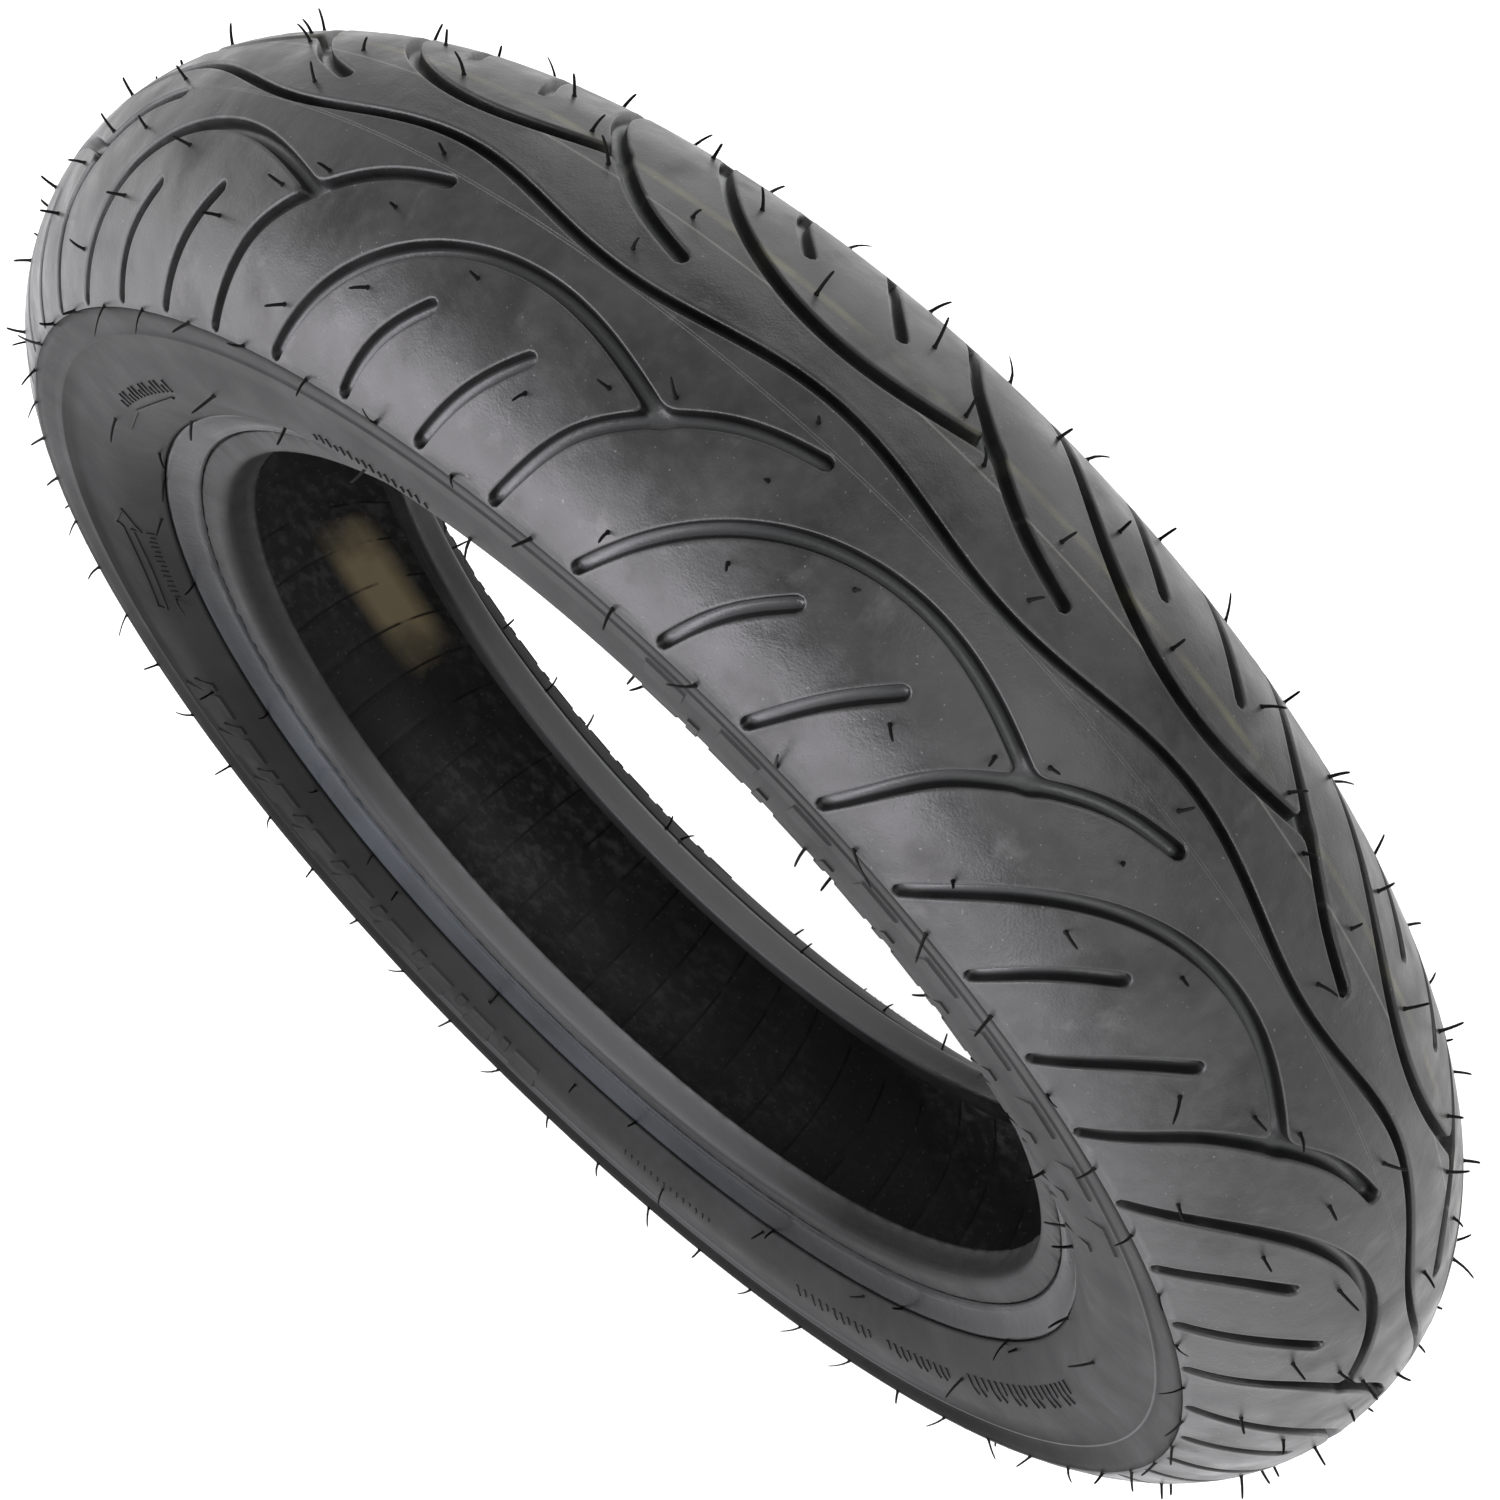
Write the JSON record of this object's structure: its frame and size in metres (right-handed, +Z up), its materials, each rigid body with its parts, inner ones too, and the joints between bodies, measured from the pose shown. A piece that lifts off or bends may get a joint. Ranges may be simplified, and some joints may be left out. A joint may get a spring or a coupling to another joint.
{
  "type": "motorcycle tire",
  "caption": "Bare pneumatic tire with a round grooved tread, smooth sidewalls and wire beads, open in the middle for the rim.",
  "frame": {"origin": "centre of the tire, on the wheel axle and midway between the sidewalls", "axes": "+Y along the wheel axle toward the right sidewall, +Z up, +X to complete a right-handed frame"},
  "size_m": [0.528, 0.11, 0.528],
  "materials": {
    "tread_rubber": "new moulded tread rubber, satin, with dull cut marks",
    "base_rubber": "soft rubber under the tread",
    "breaker_fabric": "rubbered cord fabric",
    "ply_fabric": "rubbered cord fabric",
    "liner_rubber": "smooth airtight rubber",
    "sidewall_rubber": "satin moulded rubber",
    "strip_rubber": "smooth bluish moulded rubber",
    "chafer_rubber": "hard rubber, dusty grey",
    "filler_rubber": "hard rubber wedge",
    "bead_steel": "bronze-coated steel wire bundle"
  },
  "bodies": {
    "root": {"tread_cap": "tread_rubber", "tread_base": "base_rubber", "outer_breaker_ply": "breaker_fabric", "inner_breaker_ply": "breaker_fabric", "outer_carcass_ply": "ply_fabric", "inner_carcass_ply": "ply_fabric", "inner_liner": "liner_rubber", "left_sidewall": "sidewall_rubber", "right_sidewall": "sidewall_rubber", "left_rim_strip": "strip_rubber", "right_rim_strip": "strip_rubber", "left_chafer": "chafer_rubber", "right_chafer": "chafer_rubber", "left_bead_filler": "filler_rubber", "right_bead_filler": "filler_rubber", "left_bead_wire": "bead_steel", "right_bead_wire": "bead_steel"}
  },
  "joints": []
}
